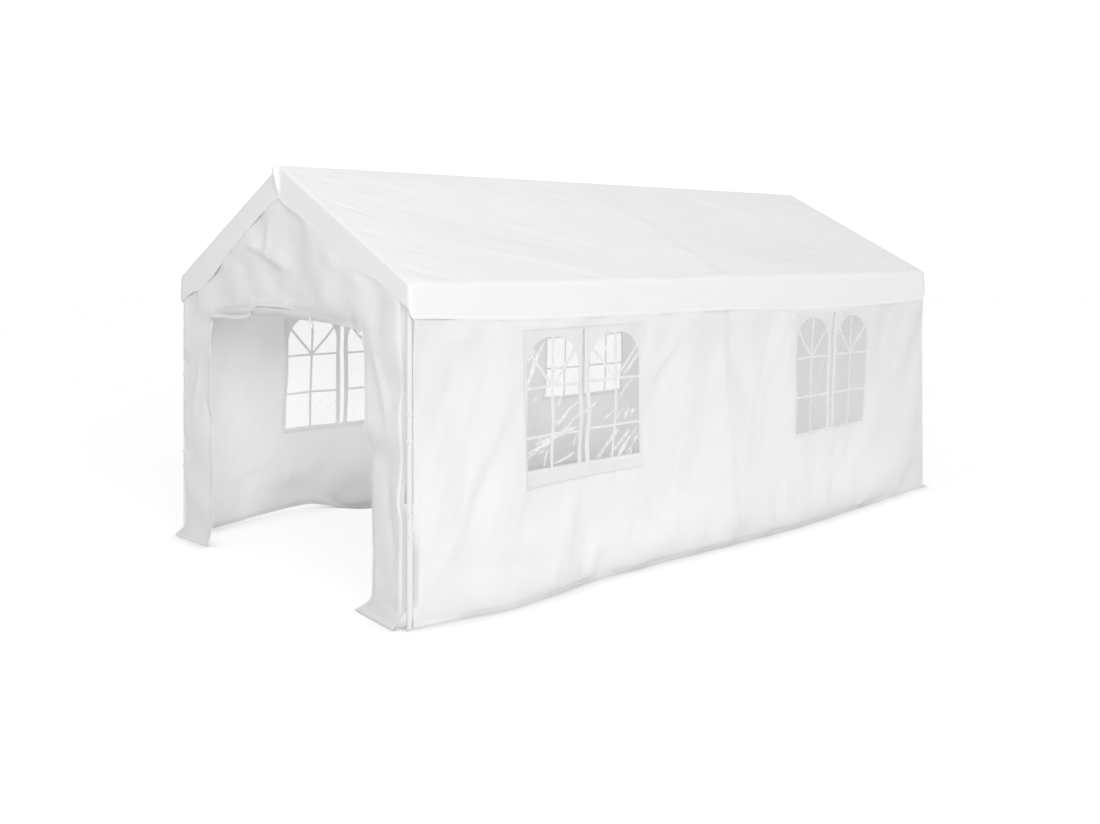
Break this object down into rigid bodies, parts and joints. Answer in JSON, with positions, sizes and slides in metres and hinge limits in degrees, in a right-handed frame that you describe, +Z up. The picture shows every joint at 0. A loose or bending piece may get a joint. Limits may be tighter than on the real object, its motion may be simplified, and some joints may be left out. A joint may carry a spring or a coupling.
{
  "type": "marquee tent",
  "caption": "White party tent: a tube frame on foot plates under a pitched sheet cover, with side walls that have arched film windows, a rolled-up front door and a closed rear wall.",
  "frame": {"origin": "on the ground, at the middle of the tent's plan", "axes": "+Y along the ridge from the open front door to the closed rear wall, +X across the tent to its right-hand side as seen looking from the door along +Y, +Z up"},
  "size_m": [3.16, 6.0598, 2.7703],
  "materials": {
    "white_sheet": "woven and coated plastic sheet, satin",
    "white_steel": "white powder coat, semi-gloss",
    "clear_film": "clear soft film, glossy"
  },
  "bodies": {
    "root": {"post_front_left": "white_steel", "foot_plate_front_left": "white_steel", "eave_connector_front_left": "white_steel", "rafter_front_left": "white_steel", "post_front_right": "white_steel", "foot_plate_front_right": "white_steel", "eave_connector_front_right": "white_steel", "rafter_front_right": "white_steel", "ridge_connector_front": "white_steel", "post_middle_left": "white_steel", "foot_plate_middle_left": "white_steel", "eave_connector_middle_left": "white_steel", "rafter_middle_left": "white_steel", "post_middle_right": "white_steel", "foot_plate_middle_right": "white_steel", "eave_connector_middle_right": "white_steel", "rafter_middle_right": "white_steel", "ridge_connector_middle": "white_steel", "post_rear_left": "white_steel", "foot_plate_rear_left": "white_steel", "eave_connector_rear_left": "white_steel", "rafter_rear_left": "white_steel", "post_rear_right": "white_steel", "foot_plate_rear_right": "white_steel", "eave_connector_rear_right": "white_steel", "rafter_rear_right": "white_steel", "ridge_connector_rear": "white_steel", "ridge_tube_front": "white_steel", "eave_tube_front_left": "white_steel", "eave_tube_front_right": "white_steel", "ridge_tube_rear": "white_steel", "eave_tube_rear_left": "white_steel", "eave_tube_rear_right": "white_steel", "roof_cover": "white_sheet", "front_gable_panel": "white_sheet", "front_left_strip": "white_sheet", "front_right_strip": "white_sheet", "rolled_door": "white_sheet", "rear_wall": "white_sheet", "left_wall": "white_sheet", "right_wall": "white_sheet", "left_window_front": "clear_film", "left_window_rear": "clear_film", "right_window_front": "clear_film", "right_window_rear": "clear_film"}
  },
  "joints": []
}
